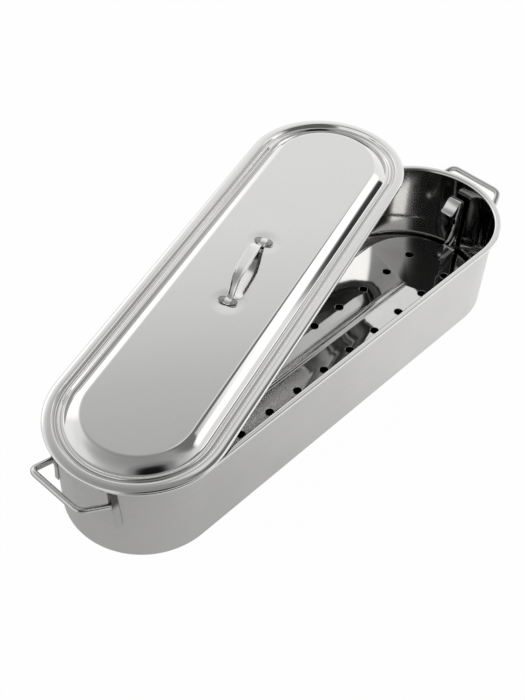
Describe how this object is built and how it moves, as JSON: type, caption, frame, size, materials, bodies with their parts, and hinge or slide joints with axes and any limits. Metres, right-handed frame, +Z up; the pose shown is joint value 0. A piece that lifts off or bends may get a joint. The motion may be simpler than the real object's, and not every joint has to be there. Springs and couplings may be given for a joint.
{
  "type": "fish poacher",
  "caption": "Long round-ended steel pan with wire end handles, a perforated lift-out rack with end straps, and a pressed lid with a bow handle.",
  "frame": {"origin": "centre of the pan's flat underside, on the surface it stands on", "axes": "+X along the pan towards the far handle, +Y across it, +Z up"},
  "size_m": [0.6386, 0.3094, 0.1373],
  "materials": {
    "brushed_steel_body": "satin brushed outside, bright inside",
    "wire_steel": "bright drawn wire",
    "mirror_steel": "mirror polished",
    "polished_lid_steel": "polished",
    "polished_handle_steel": "mirror polished"
  },
  "bodies": {
    "pan": {"pan_body": "brushed_steel_body", "near_handle_loop": "wire_steel", "near_handle_left_lug": "brushed_steel_body", "near_handle_right_lug": "brushed_steel_body", "far_handle_loop": "wire_steel", "far_handle_left_lug": "brushed_steel_body", "far_handle_right_lug": "brushed_steel_body"},
    "rack": {"rack_plate": "mirror_steel", "rack_near_strap": "mirror_steel", "rack_near_rivet": "mirror_steel", "rack_far_strap": "mirror_steel", "rack_far_rivet": "mirror_steel"},
    "lid": {"lid_shell": "polished_lid_steel", "lid_handle": "polished_handle_steel"}
  },
  "joints": [
    {"name": "rack_lift", "type": "slide", "parent": "pan", "child": "rack", "axis": [0, 0, 1], "range_m": [0, 0.13]},
    {"name": "lid_lift", "type": "slide", "parent": "rack", "child": "lid", "axis": [0, 0, 1], "range_m": [0, 0.16]}
  ]
}
